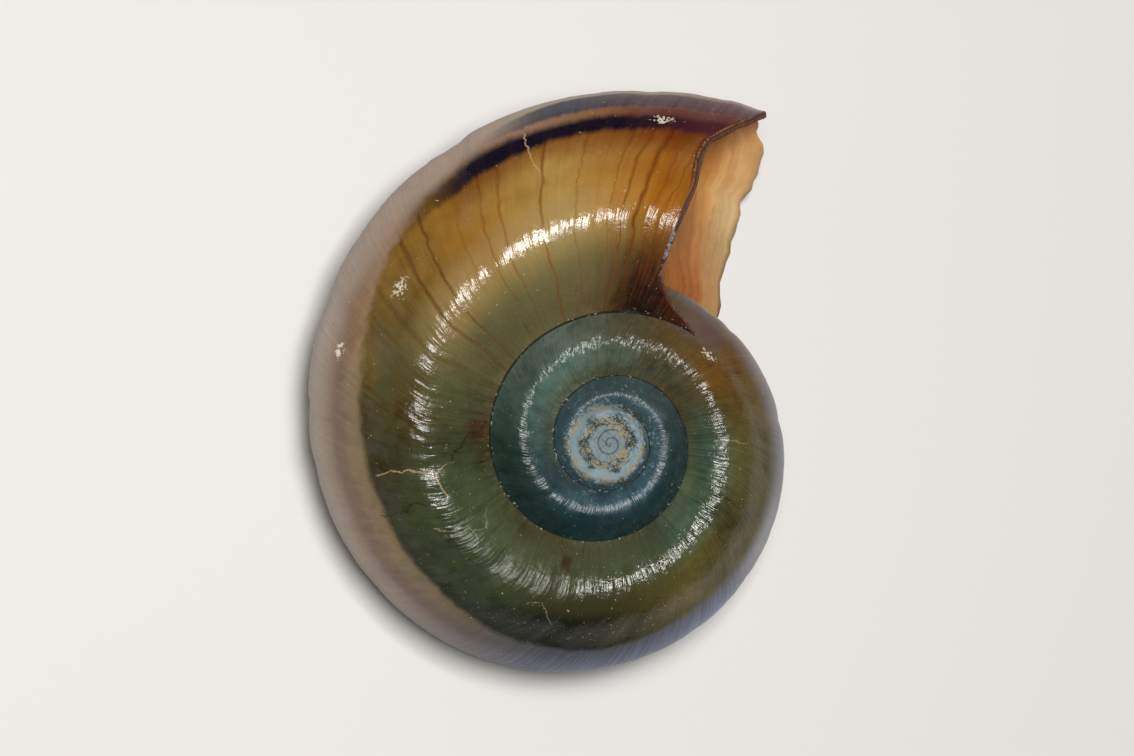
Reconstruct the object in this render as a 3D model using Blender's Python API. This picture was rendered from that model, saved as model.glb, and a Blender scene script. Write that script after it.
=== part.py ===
import math

import bmesh
import bpy
from mathutils import Matrix, Vector

# Size and growth of the coil. Angles are in degrees of growth, which run clockwise as seen
# from the spire side, with the same zero as the +X axis.
MOUTH_RADIUS = 0.0288       # coiling axis to the outer edge of the last whorl at MOUTH_ANGLE
MOUTH_ANGLE = 294.0
GROWTH_GROWN = 0.80         # natural log of the growth in one turn, outer whorls
GROWTH_YOUNG = 0.66         # the same for the young whorls
GROWTH_CHANGE = -1.6        # turns before the mouth where one growth rate gives way to the other
GROWTH_BLEND = 0.2          # turns over which it does
YOUNG_SHIFT = 0.00035       # the young whorls sit this far off the axis of the grown ones
SHIFT_START = -2.2          # turns before the mouth between which the shift fades out
SHIFT_END = -1.0

# Cross-section of the tube, as shares of the radius to its outer edge
TUBE_MIDDLE = 0.636         # radius of the section's middle
TUBE_INNER = 0.241          # radius of its inner edge
TUBE_ABOVE = 0.36           # half height towards the spire
TUBE_BELOW = 0.34           # half height towards the base
TUBE_LEVEL = -0.341         # height of its middle, below the level of the apex
SHOULDER_OUTER = 0.079      # flattening of the upper outer quarter
SHOULDER_INNER = 0.046      # and of the upper inner quarter

# The last half turn lifts a little towards the spire.
LIFT = 0.084
LIFT_START = 120.0
LIFT_FULL = 294.0

# Mesh density: columns along the coil, rows around the tube
TURN_COLUMNS = 40
COLUMNS = 172
UPPER_ROWS = 6              # from the whorl's own upper suture to the next whorl's
MIDDLE_ROWS = 10            # the band that the next whorl covers
LOWER_ROWS = 6              # from the next whorl's lower suture to the whorl's own
END_ANGLE = 306.0           # where the sutures end at the mouth

# Wall and hollow
WALL = 0.03                 # wall thickness as a share of the radius
CALLUS = 0.011              # glaze inside the tube on the whorl before it
LIP_WALL = 0.00045
LIP_TAPER = 3               # columns over which the wall thins to the lip
CALLUS_TAPER = 2            # and the glaze thins to nothing
LUMEN_COLUMNS = 56
LUMEN_END = 3               # columns over which the hollow closes to a point
APEX_DIP = 0.10             # depth of the middle of the first whorl, share of its radius
PIT_DEPTH = 0.55            # depth of the end of the pit below the apex, same share

# Edge of the mouth: how far it runs ahead of END_ANGLE, or lags it, around the tube. The first
# value of each pair is the angle in the section, 0 outwards and 90 towards the spire. It comes
# back to END_ANGLE at both sutures.
LIP_LEAD = (
    (127.0, -11.5), (117.0, -18.0), (100.0, -19.5), (72.0, -17.5), (46.0, -16.8), (20.0, -11.0),
    (0.0, -7.0), (-25.0, -5.6), (-45.0, -0.8), (-67.0, 1.6), (-90.0, 7.3), (-104.0, 12.2),
    (-113.0, 17.5), (-130.0, 20.5), (-150.0, 18.0), (-170.0, 8.0),
)
LIP_COLUMNS = 8             # columns over which the slant of the mouth fades out

# Where each suture is looked for: an angle in the section clear of the whorl before, and one in it
UPPER_SEARCH = (95.0, 160.0)
LOWER_SEARCH = (-110.0, -200.0)
SEARCH_STEPS = 40
NORMAL_STEP = 0.5

# Pose: the shell lies on its base, tipped until it rests on the lip and on the base of the whorl
REST_TILT = 7.31
REST_HEADING = 129.0
REST_WEAR = 0.00015         # depth of the small flats worn where it touches

SHELL_COLOUR = (0.12, 0.10, 0.035, 1.0)
SHELL_ROUGHNESS = 0.32


def growth_radius(angle):
    """Radius to the outer edge of the tube at an angle of growth."""
    turns = (angle - MOUTH_ANGLE) / 360.0
    extra = GROWTH_GROWN - GROWTH_YOUNG

    def ramp(t):
        return GROWTH_BLEND * math.log1p(math.exp((t - GROWTH_CHANGE) / GROWTH_BLEND))

    return MOUTH_RADIUS * math.exp(GROWTH_YOUNG * turns + extra * (ramp(turns) - ramp(0.0)))


def smooth_step(start, end, value):
    t = min(max((value - start) / (end - start), 0.0), 1.0)
    return t * t * (3.0 - 2.0 * t)


def lift(angle):
    return LIFT * smooth_step(LIFT_START, LIFT_FULL, angle)


def quarter_sizes(cosine, sine):
    half_width = 1.0 - TUBE_MIDDLE if cosine >= 0.0 else TUBE_MIDDLE - TUBE_INNER
    half_height = TUBE_ABOVE if sine >= 0.0 else TUBE_BELOW
    flat = 0.0
    if sine >= 0.0:
        flat = SHOULDER_OUTER if cosine >= 0.0 else SHOULDER_INNER
    return half_width, half_height, flat


def section_point(angle, around):
    """Radius and height of the tube's outside at an angle of growth and an angle in the section."""
    phi = math.radians(around)
    half_width, half_height, flat = quarter_sizes(math.cos(phi), math.sin(phi))
    bulge = 1.0 - flat + flat * math.cos(4.0 * phi)
    scale = growth_radius(angle)
    radius = TUBE_MIDDLE + half_width * bulge * math.cos(phi)
    height = TUBE_LEVEL + lift(angle) + half_height * bulge * math.sin(phi)
    return Vector((radius * scale, height * scale))


def section_normal(angle, around):
    """Outward normal of the section's outline."""
    ahead = section_point(angle, around + NORMAL_STEP)
    behind = section_point(angle, around - NORMAL_STEP)
    return Vector((ahead.y - behind.y, behind.x - ahead.x)).normalized()


def place_in_section(angle, point):
    """How far out a point lies in the section of another whorl, and its angle there: 1 is on
    the outline, less is inside."""
    scale = growth_radius(angle)
    across = point.x / scale - TUBE_MIDDLE
    up = point.y / scale - TUBE_LEVEL - lift(angle)
    half_width, half_height, flat = quarter_sizes(across, up)
    across /= half_width
    up /= half_height
    phi = math.atan2(up, across)
    bulge = 1.0 - flat + flat * math.cos(4.0 * phi)
    return math.hypot(across, up) / bulge, math.degrees(phi)


def suture(angle, outside, inside):
    """Angle in the section where the tube meets the whorl before it, between one angle that is
    clear of that whorl and one that lies in it."""
    for _ in range(SEARCH_STEPS):
        middle = (outside + inside) / 2.0
        reach, _ = place_in_section(angle - 360.0, section_point(angle, middle))
        if reach > 1.0:
            outside = middle
        else:
            inside = middle
    return (outside + inside) / 2.0


def upper_suture(angle):
    return suture(angle, *UPPER_SEARCH)


def lower_suture(angle):
    return suture(angle, *LOWER_SEARCH)


def spread(first, last, count):
    return [first + (last - first) * i / count for i in range(count + 1)]


def row_angles(angle):
    """Angles in the section of the rows, from the upper suture over the outside to the lower."""
    own_upper = upper_suture(angle)
    own_lower = lower_suture(angle)
    ahead = angle + 360.0
    _, next_upper = place_in_section(angle, section_point(ahead, upper_suture(ahead)))
    _, next_lower = place_in_section(angle, section_point(ahead, lower_suture(ahead)))
    rows = spread(own_upper, next_upper, UPPER_ROWS)
    rows += spread(next_upper, next_lower, MIDDLE_ROWS)[1:]
    rows += spread(next_lower, own_lower, LOWER_ROWS)[1:]
    return rows


def lip_lead(around, rows):
    """Lead of the mouth's edge at an angle in the section, even between the points of LIP_LEAD."""
    points = [(rows[0], 0.0), *LIP_LEAD, (rows[-1], 0.0)]
    for high, low in zip(points, points[1:]):
        if high[0] >= around >= low[0]:
            t = (high[0] - around) / (high[0] - low[0])
            return high[1] + (low[1] - high[1]) * t
    return 0.0


def to_space(angle, point):
    """A point of the section, turned to its angle of growth."""
    turn = math.radians(angle)
    turns = (angle - MOUTH_ANGLE) / 360.0
    shift = YOUNG_SHIFT * (1.0 - smooth_step(SHIFT_START, SHIFT_END, turns))
    return Vector((point.x * math.cos(turn) + shift, -point.x * math.sin(turn), point.y))


def column_angle(column):
    return END_ANGLE - 360.0 / TURN_COLUMNS * (COLUMNS - column)


def slant(column):
    """How much of the mouth's slant a column takes, 1 at the mouth."""
    return smooth_step(COLUMNS - LIP_COLUMNS, COLUMNS, column)


def add_strip(bm, left, right):
    """Faces between two rows of vertices, which may differ in number or share their ends."""
    i, j = 0, 0
    while i < len(left) - 1 or j < len(right) - 1:
        step_left = i < len(left) - 1
        step_right = j < len(right) - 1
        if step_left and step_right:
            if len(left) == len(right):
                corners = [left[i], left[i + 1], right[j + 1], right[j]]
                i, j = i + 1, j + 1
            elif (i + 1) * (len(right) - 1) <= (j + 1) * (len(left) - 1):
                corners = [left[i], left[i + 1], right[j]]
                i += 1
            else:
                corners = [left[i], right[j + 1], right[j]]
                j += 1
        elif step_left:
            corners = [left[i], left[i + 1], right[j]]
            i += 1
        else:
            corners = [left[i], right[j + 1], right[j]]
            j += 1
        unique = []
        for vertex in corners:
            if vertex not in unique:
                unique.append(vertex)
        if len(unique) > 2:
            bm.faces.new(unique)


def build_outside(bm):
    """The outer skin as columns of rows. Each whorl shares its suture vertices with the whorl
    before it, and the band that the next whorl covers is left out."""
    last_row = UPPER_ROWS + MIDDLE_ROWS + LOWER_ROWS
    edge_upper = UPPER_ROWS
    edge_lower = UPPER_ROWS + MIDDLE_ROWS
    start_scale = growth_radius(column_angle(0) + 180.0)
    apex = bm.verts.new((YOUNG_SHIFT, 0.0, -APEX_DIP * start_scale))
    pit = bm.verts.new((YOUNG_SHIFT, 0.0, -PIT_DEPTH * start_scale))
    grid = []
    for column in range(COLUMNS + 1):
        angle = column_angle(column)
        rows = row_angles(angle)
        line = []
        for row, around in enumerate(rows):
            covered = edge_upper < row < edge_lower and column + TURN_COLUMNS < COLUMNS
            if covered:
                line.append(None)
            elif row == 0:
                line.append(apex if column < TURN_COLUMNS else grid[column - TURN_COLUMNS][edge_upper])
            elif row == last_row:
                line.append(pit if column < TURN_COLUMNS else grid[column - TURN_COLUMNS][edge_lower])
            else:
                here = angle + slant(column) * lip_lead(around, rows)
                line.append(bm.verts.new(to_space(here, section_point(here, around))))
        grid.append(line)
    for column in range(COLUMNS):
        left, right = grid[column], grid[column + 1]
        if column == TURN_COLUMNS - 1:
            first = grid[0]
            right_upper = first[:edge_upper] + right[:edge_upper + 1]
            right_lower = right[edge_lower:last_row] + first[edge_lower:]
            add_strip(bm, left[:edge_upper + 1], right_upper)
            add_strip(bm, left[edge_lower:], right_lower)
        elif column + TURN_COLUMNS >= COLUMNS:
            add_strip(bm, left, right)
        else:
            add_strip(bm, left[:edge_upper + 1], right[:edge_upper + 1])
            add_strip(bm, left[edge_lower:], right[edge_lower:])
    return grid


def corner_offset(angle, around, before, before_around, wall, glaze):
    """Where the hollow's edge lies at a suture: one wall thickness inside the tube's outside and
    one glaze thickness off the whorl before it."""
    inward = -section_normal(angle, around)
    outward = section_normal(before, before_around)
    dot = inward.dot(outward)
    along = (wall - glaze * dot) / (1.0 - dot * dot)
    across = (glaze - wall * dot) / (1.0 - dot * dot)
    return section_point(angle, around) + inward * along + outward * across


def lumen_ring(column):
    """Points around the hollow at one column: the free wall from suture to suture, then back
    over the whorl before it."""
    angle = column_angle(column)
    before = angle - 360.0
    rows = row_angles(angle)
    scale = growth_radius(angle)
    behind_lip = COLUMNS - column
    wall = LIP_WALL + (WALL * scale - LIP_WALL) * min(behind_lip / LIP_TAPER, 1.0)
    glaze = CALLUS * scale * min(behind_lip / CALLUS_TAPER, 1.0)
    _, seat_upper = place_in_section(before, section_point(angle, rows[0]))
    _, seat_lower = place_in_section(before, section_point(angle, rows[-1]))
    ring = [to_space(angle, corner_offset(angle, rows[0], before, seat_upper, wall, glaze))]
    for around in rows[1:-1]:
        here = angle + slant(column) * lip_lead(around, rows)
        point = section_point(here, around) - section_normal(here, around) * wall
        ring.append(to_space(here, point))
    ring.append(to_space(angle, corner_offset(angle, rows[-1], before, seat_lower, wall, glaze)))
    for around in spread(seat_lower, seat_upper, MIDDLE_ROWS)[1:-1]:
        point = section_point(before, around) + section_normal(before, around) * glaze
        ring.append(to_space(angle, point))
    return ring


def build_hollow(bm, grid):
    """The hollow of the tube, open at the mouth and closed to a point deep inside."""
    mouth_seat = grid[COLUMNS - TURN_COLUMNS]
    seat = mouth_seat[UPPER_ROWS + 1:UPPER_ROWS + MIDDLE_ROWS]
    outside = grid[COLUMNS]
    last_row = len(outside) - 1
    points = lumen_ring(COLUMNS)
    inside = [outside[0]]
    inside += [bm.verts.new(point) for point in points[1:last_row]]
    inside.append(outside[last_row])
    add_strip(bm, outside, inside)
    ring = inside + seat[::-1]
    for step in range(1, LUMEN_COLUMNS + 1):
        points = lumen_ring(COLUMNS - step)
        middle = sum(points, Vector()) / len(points)
        closing = max(step - (LUMEN_COLUMNS - LUMEN_END), 0) / (LUMEN_END + 1)
        size = math.sqrt(1.0 - closing * closing)
        fresh = [bm.verts.new(middle + (point - middle) * size) for point in points]
        add_strip(bm, ring + ring[:1], fresh + fresh[:1])
        ring = fresh
    end = bm.verts.new(sum((vertex.co for vertex in ring), Vector()) / len(ring))
    for i, vertex in enumerate(ring):
        bm.faces.new((vertex, ring[(i + 1) % len(ring)], end))


def lay_down(bm):
    """Tips the shell onto its base, wears a small flat where it touches, and puts the origin
    under its middle."""
    heading = math.radians(-REST_HEADING)
    axis = Vector((-math.sin(heading), math.cos(heading), 0.0))
    tilt = Matrix.Rotation(math.radians(REST_TILT), 3, axis)
    bmesh.ops.transform(bm, matrix=tilt.to_4x4(), verts=bm.verts)
    ground = min(vertex.co.z for vertex in bm.verts) + REST_WEAR
    geometry = bm.verts[:] + bm.edges[:] + bm.faces[:]
    cut = bmesh.ops.bisect_plane(bm, geom=geometry, plane_co=(0.0, 0.0, ground),
                                 plane_no=(0.0, 0.0, -1.0), clear_outer=True)
    rims = [item for item in cut["geom_cut"] if isinstance(item, bmesh.types.BMEdge)]
    bmesh.ops.holes_fill(bm, edges=rims, sides=0)
    across = [vertex.co.x for vertex in bm.verts]
    deep = [vertex.co.y for vertex in bm.verts]
    middle = Vector(((min(across) + max(across)) / 2.0, (min(deep) + max(deep)) / 2.0, ground))
    bmesh.ops.translate(bm, vec=-middle, verts=bm.verts)


def make_material():
    material = bpy.data.materials.new("shell_horn")
    material.use_nodes = True
    principled = material.node_tree.nodes["Principled BSDF"]
    principled.inputs["Base Color"].default_value = SHELL_COLOUR
    principled.inputs["Roughness"].default_value = SHELL_ROUGHNESS
    principled.inputs["Metallic"].default_value = 0.0
    return material


def main():
    for item in list(bpy.data.objects):
        bpy.data.objects.remove(item, do_unlink=True)
    bm = bmesh.new()
    grid = build_outside(bm)
    build_hollow(bm, grid)
    bmesh.ops.recalc_face_normals(bm, faces=bm.faces[:])
    lay_down(bm)
    bmesh.ops.triangulate(bm, faces=bm.faces[:], quad_method="SHORT_EDGE")
    bmesh.ops.recalc_face_normals(bm, faces=bm.faces[:])
    mesh = bpy.data.meshes.new("shell")
    bm.to_mesh(mesh)
    bm.free()
    mesh.shade_smooth()
    mesh.materials.append(make_material())
    shell = bpy.data.objects.new("shell", mesh)
    bpy.context.collection.objects.link(shell)


main()
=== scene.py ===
import math

import bmesh
import bpy
from mathutils import Matrix, Vector, noise


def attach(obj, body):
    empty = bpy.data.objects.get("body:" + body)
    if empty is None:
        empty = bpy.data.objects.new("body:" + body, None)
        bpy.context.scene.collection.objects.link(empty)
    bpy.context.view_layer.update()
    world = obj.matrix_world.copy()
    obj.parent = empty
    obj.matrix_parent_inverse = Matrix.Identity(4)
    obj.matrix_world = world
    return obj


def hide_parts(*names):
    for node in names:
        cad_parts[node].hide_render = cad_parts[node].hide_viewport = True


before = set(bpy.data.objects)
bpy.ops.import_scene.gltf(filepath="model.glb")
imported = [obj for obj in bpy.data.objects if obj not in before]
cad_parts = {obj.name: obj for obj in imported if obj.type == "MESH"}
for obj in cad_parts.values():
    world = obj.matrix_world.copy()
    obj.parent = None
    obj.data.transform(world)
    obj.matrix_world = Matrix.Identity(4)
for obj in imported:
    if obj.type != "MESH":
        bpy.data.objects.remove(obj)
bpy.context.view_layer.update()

print("stage 1: the packed frame is in")


def operator(operation, reflected=False):
    # reflected where the wire stands on the right of the sign
    def added(wire, other):
        return wire.bench.maths(operation, *((other, wire) if reflected else (wire, other)))
    return added


class Wire:
    # one output socket; arithmetic on it adds Math nodes to its tree
    __add__, __radd__ = operator("ADD"), operator("ADD", True)
    __sub__, __rsub__ = operator("SUBTRACT"), operator("SUBTRACT", True)
    __mul__, __rmul__ = operator("MULTIPLY"), operator("MULTIPLY", True)
    __truediv__, __rtruediv__ = operator("DIVIDE"), operator("DIVIDE", True)
    __pow__ = operator("POWER")

    def __init__(self, bench, socket):
        self.bench = bench
        self.socket = socket

    def __neg__(self):
        return self * -1.0

    def __abs__(self):
        return self.maths("ABSOLUTE")

    def maths(self, operation, *others):
        return self.bench.maths(operation, self, *others)


class Bench:
    # adds nodes to one tree, and gives their outputs back as wires
    def __init__(self, tree):
        self.tree = tree

    def node(self, kind, settings=None, values=None, output=0):
        item = self.tree.nodes.new(kind)
        for name, value in (settings or {}).items():
            if name == "stops":
                self.setStops(item.color_ramp, value)
            else:
                setattr(item, name, value)
        for name, value in (values or {}).items():
            target = self.find(item.inputs, name)
            if isinstance(value, Wire):
                self.tree.links.new(value.socket, target)
            else:
                target.default_value = value
        return Wire(self, self.find(item.outputs, output)) if len(item.outputs) else item

    def find(self, sockets, name):
        if isinstance(name, int):
            return sockets[name]
        for socket in sockets:
            if socket.identifier == name:
                return socket
        return sockets[name]

    def setStops(self, ramp, stops):
        while len(ramp.elements) > 1:
            ramp.elements.remove(ramp.elements[-1])
        ramp.elements[0].position = stops[0][0]
        for place, _ in stops[1:]:
            ramp.elements.new(place)
        for element, (_, colour) in zip(ramp.elements, stops):
            element.color = (*(colour if isinstance(colour, tuple) else (colour,) * 3), 1.0)

    def maths(self, operation, *values):
        return self.node("ShaderNodeMath", {"operation": operation}, dict(enumerate(values)))

    def split(self, wire):
        item = self.node("ShaderNodeSeparateXYZ", {}, {0: wire}).socket.node
        return [Wire(self, socket) for socket in item.outputs]

    def join(self, x, y, z=0.0):
        return self.node("ShaderNodeCombineXYZ", {}, {0: x, 1: y, 2: z})

    def smooth(self, value, low, high):
        # 0 at low, 1 at high, eased at both ends
        return self.node("ShaderNodeMapRange", {"interpolation_type": "SMOOTHSTEP"},
                         {"Value": value, "From Min": low, "From Max": high})

    def noise(self, vector, scale, detail=2.0, roughness=0.5, dimensions="3D"):
        return self.node("ShaderNodeTexNoise", {"noise_dimensions": dimensions},
                         {"Vector": vector, "Scale": scale, "Detail": detail, "Roughness": roughness})

    def blend(self, factor, first, second, mode="MIX"):
        def colour(value):
            return (*value, 1.0) if isinstance(value, tuple) and len(value) == 3 else value
        settings = {"data_type": "RGBA", "blend_type": mode, "clamp_factor": True}
        values = {"Factor_Float": factor, "A_Color": colour(first), "B_Color": colour(second)}
        return self.node("ShaderNodeMix", settings, values, "Result_Color")

    def tinted(self, colour, factors):
        return self.blend(1.0, colour, factors, "MULTIPLY")

    def shaded(self, colour, shade):
        return self.tinted(colour, self.join(shade, shade, shade))

    def along(self, value, stops):
        # colours at their places along a value
        low, high = stops[0][0], stops[-1][0]
        places = [((at - low) / (high - low), colour) for at, colour in stops]
        return self.node("ShaderNodeValToRGB", {"stops": places}, {"Fac": (value - low) / (high - low)})

    def band(self, value, middle, solid, soft):
        # 1 within solid of the middle, 0 beyond solid and soft
        return 1.0 - self.smooth(abs(value - middle), solid, solid + soft)


def joined(operation, wires):
    # several wires made one by MAXIMUM, MINIMUM or ADD
    found = wires[0]
    for wire in wires[1:]:
        found = found.maths(operation, wire)
    return found


def most(*wires):
    return joined("MAXIMUM", wires)


# The same law is worked out in plain numbers for the net's seams and in nodes for its shape.
def either(operation, plain, *others):
    def work(value):
        return value.maths(operation, *others) if isinstance(value, Wire) else plain(value)
    return work


powerOfE, naturalLog = either("EXPONENT", math.exp), either("LOGARITHM", math.log, math.e)
cosine, sine = either("COSINE", math.cos), either("SINE", math.sin)
positive = either("GREATER_THAN", lambda value: float(value > 0.0), 0.0)


def limited(value):
    if isinstance(value, Wire):
        return value.maths("MINIMUM", 1.0).maths("MAXIMUM", 0.0)
    return min(max(value, 0.0), 1.0)


def eased(value, low, high):
    share = limited((value - low) / (high - low))
    return share * share * (3.0 - 2.0 * share)


def linked(name, data):
    made = bpy.data.objects.new(name, data)
    bpy.context.collection.objects.link(made)
    return made


degree = math.pi / 180.0

# Growth angles run clockwise from +X as seen from the spire. Around the tube, 0 is outwards and
# 90 towards the spire.
shellLaw = {
    "mouthRadius": 0.0288,      # metres from the coiling axis to the outer edge at mouthGrowth
    "mouthGrowth": 294.0,
    "grownRate": 0.80,          # natural log of the growth in one turn, outer whorls
    "youngRate": 0.66,          # the same for the young whorls
    "rateChange": -1.6,         # turns before the mouth where one rate gives way to the other
    "rateBlend": 0.2,
    "youngShift": 0.00035,      # the young whorls sit this far off the axis
    "shiftStart": -2.2,
    "shiftEnd": -1.0,
    "tubeMiddle": 0.636,        # shares of the radius to the tube's outer edge
    "tubeInner": 0.241,
    "tubeAbove": 0.36,
    "tubeBelow": 0.34,
    "tubeLevel": -0.341,
    "shoulderOuter": 0.079,
    "shoulderInner": 0.046,
    "lift": 0.084,              # the last half turn lifts towards the spire
    "liftStart": 120.0,
    "liftFull": 294.0,
}


def growthRadius(law, growth):
    turns = (growth - law["mouthGrowth"]) / 360.0
    extra = law["grownRate"] - law["youngRate"]

    def gain(value):
        past = (value - law["rateChange"]) / law["rateBlend"]
        return law["rateBlend"] * naturalLog(1.0 + powerOfE(past))

    rate = law["youngRate"] * turns + extra * (gain(turns) - gain(0.0))
    return law["mouthRadius"] * powerOfE(rate)


def tubeLift(law, growth):
    return law["lift"] * eased(growth, law["liftStart"], law["liftFull"])


def quarterSizes(law, outwards, upwards):
    outer, upper = positive(outwards), positive(upwards)
    innerWidth = law["tubeMiddle"] - law["tubeInner"]
    halfWidth = innerWidth + (1.0 - law["tubeMiddle"] - innerWidth) * outer
    halfHeight = law["tubeBelow"] + (law["tubeAbove"] - law["tubeBelow"]) * upper
    shoulder = law["shoulderInner"] + (law["shoulderOuter"] - law["shoulderInner"]) * outer
    return halfWidth, halfHeight, shoulder * upper


def sectionPoint(law, growth, around):
    phi = around * degree
    outwards, upwards = cosine(phi), sine(phi)
    halfWidth, halfHeight, flat = quarterSizes(law, outwards, upwards)
    bulge = 1.0 - flat + flat * cosine(4.0 * phi)
    scale = growthRadius(law, growth)
    radius = (law["tubeMiddle"] + halfWidth * bulge * outwards) * scale
    height = (law["tubeLevel"] + tubeLift(law, growth) + halfHeight * bulge * upwards) * scale
    return radius, height


def toSpace(law, growth, radius, height):
    turn = growth * degree
    turns = (growth - law["mouthGrowth"]) / 360.0
    shift = law["youngShift"] * (1.0 - eased(turns, law["shiftStart"], law["shiftEnd"]))
    return radius * cosine(turn) + shift, -radius * sine(turn), height


shellNet = {
    "turnColumns": 240,         # columns of the net in one turn
    "columns": 1035,            # whorls of the net, in columns
    "upperRows": 26,            # rows from the whorl's own upper suture to the next whorl's
    "middleRows": 36,           # rows on the band that the next whorl covers
    "lowerRows": 22,            # rows from the next whorl's lower suture to the whorl's own
    "endGrowth": 310.5,         # where the sutures end at the mouth
    "lipGrowth": 306.0,         # what lipLine is counted from
    "slantColumns": 48,         # columns over which the slant of the mouth fades out
    "apexDip": 0.10,            # dip of the first whorl's middle, share of its radius
    "pitDepth": 0.55,           # end of the pit below the apex, same share
    "wall": 0.03,               # wall as a share of the radius
    "lipWall": 0.00030,         # wall at the lip, metres
    "lipTaper": 27.0,           # degrees over which the wall thins to the lip
    "glaze": 0.011,             # glaze inside the tube on the whorl before it
    "glazeTaper": 18.0,
    "hollowNear": 60,           # rings of the hollow close to the mouth, one column apart
    "hollowFar": 92,            # rings behind them
    "hollowStep": 3,            # columns between those
    "hollowEnd": 8,             # rings over which the hollow closes
    "lipReach": 12.0,           # degrees behind the lip where the hollow follows the skin's relief
    "apexBehind": 1500.0,       # degrees from the lip back to the apex, for the material
    "chipSeed": 5.3,            # picks the small chips in the lip
    "chipDepth": 0.80,          # their depth, degrees of growth
    "chipBroad": 0.11,          # how often broad and fine chips come, per degree around the tube
    "chipFine": 0.42,
    "chipNear": 0.25,           # share of the depth on the near side, above nearFrom
    "nearFrom": -10.0,
    "chipPower": 14,            # high, so that chips keep to the last columns
    "lipLine": (                # angle around the tube and the lead of the lip there over lipGrowth
        (137.0, 3.5), (136.0, 0.0), (130.0, -10.4), (119.0, -17.6), (113.0, -19.2), (101.0, -19.4),
        (92.0, -19.0), (82.0, -18.3), (72.0, -17.5), (51.0, -17.1), (41.0, -16.2), (32.0, -13.6),
        (18.0, -9.2), (8.0, -7.4), (-2.0, -7.2), (-14.0, -7.2), (-29.0, -5.3), (-33.0, -3.4),
        (-40.0, -1.8), (-50.0, -0.4), (-62.0, 1.1), (-67.0, 1.3), (-72.0, 2.8), (-82.0, 4.8),
        (-89.0, 7.1), (-93.0, 7.5), (-100.0, 9.8), (-104.0, 12.2), (-111.0, 17.4), (-130.0, 19.5),
        (-150.0, 17.0), (-170.0, 8.0),
    ),
}


def placeInSection(law, growth, radius, height):
    # how far out a point lies in another whorl's section, and its angle there
    scale = growthRadius(law, growth)
    across = radius / scale - law["tubeMiddle"]
    up = height / scale - law["tubeLevel"] - tubeLift(law, growth)
    halfWidth, halfHeight, flat = quarterSizes(law, across, up)
    across, up = across / halfWidth, up / halfHeight
    phi = math.atan2(up, across)
    bulge = 1.0 - flat + flat * math.cos(4.0 * phi)
    return math.hypot(across, up) / bulge, phi / degree


def suture(law, growth, outside, inside):
    # the angle around the tube where it meets the whorl before, found by halving
    for _ in range(30):
        middle = (outside + inside) / 2.0
        reach, _ = placeInSection(law, growth - 360.0, *sectionPoint(law, growth, middle))
        if reach > 1.0:
            outside = middle
        else:
            inside = middle
    return (outside + inside) / 2.0


def upperSuture(law, growth):
    return suture(law, growth, outside=95.0, inside=160.0)


def lowerSuture(law, growth):
    return suture(law, growth, outside=-110.0, inside=-200.0)


def spread(first, last, count):
    return [first + (last - first) * i / count for i in range(count + 1)]


def rowAngles(law, net, growth):
    ahead = growth + 360.0
    upper, lower = upperSuture(law, growth), lowerSuture(law, growth)
    _, nextUpper = placeInSection(law, growth, *sectionPoint(law, ahead, upperSuture(law, ahead)))
    _, nextLower = placeInSection(law, growth, *sectionPoint(law, ahead, lowerSuture(law, ahead)))
    rows = spread(upper, nextUpper, net["upperRows"])
    rows += spread(nextUpper, nextLower, net["middleRows"])[1:]
    rows += spread(nextLower, lower, net["lowerRows"])[1:]
    return rows


def chip(net, around):
    # small bites in the thin edge of the lip, deeper on the far side
    broad = noise.noise(Vector((around * net["chipBroad"], net["chipSeed"], 0.0)))
    fine = noise.noise(Vector((around * net["chipFine"], net["chipSeed"] + 9.0, 0.0)))
    bite = max(broad - 0.10, 0.0) * 1.1 + abs(fine) * 1.2
    return -net["chipDepth"] * bite * (net["chipNear"] if around > net["nearFrom"] else 1.0)


def lipLead(net, around, rows, share):
    ends = net["endGrowth"] - net["lipGrowth"]
    line = net["lipLine"]
    points = [(max(rows[0], line[0][0]), ends), *line, (rows[-1], ends)]
    lead = ends
    for high, low in zip(points, points[1:]):
        if high[0] >= around >= low[0] and high[0] > low[0]:
            lead = high[1] + (low[1] - high[1]) * (high[0] - around) / (high[0] - low[0])
    return lead - ends + chip(net, around) * share ** net["chipPower"]


def sectionNormal(law, growth, around):
    aheadRadius, aheadHeight = sectionPoint(law, growth, around + 0.5)
    backRadius, backHeight = sectionPoint(law, growth, around - 0.5)
    return Vector((aheadHeight - backHeight, backRadius - aheadRadius)).normalized()


def cornerInset(law, growth, around, before, beforeAround, wall, glaze):
    # where the hollow's edge lies at a suture: inside the wall, and off the whorl before it
    inward = -sectionNormal(law, growth, around)
    outward = sectionNormal(law, before, beforeAround)
    dot = inward.dot(outward)
    along = (wall - glaze * dot) / (1.0 - dot * dot)
    across = (glaze - wall * dot) / (1.0 - dot * dot)
    return inward * along + outward * across


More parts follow.
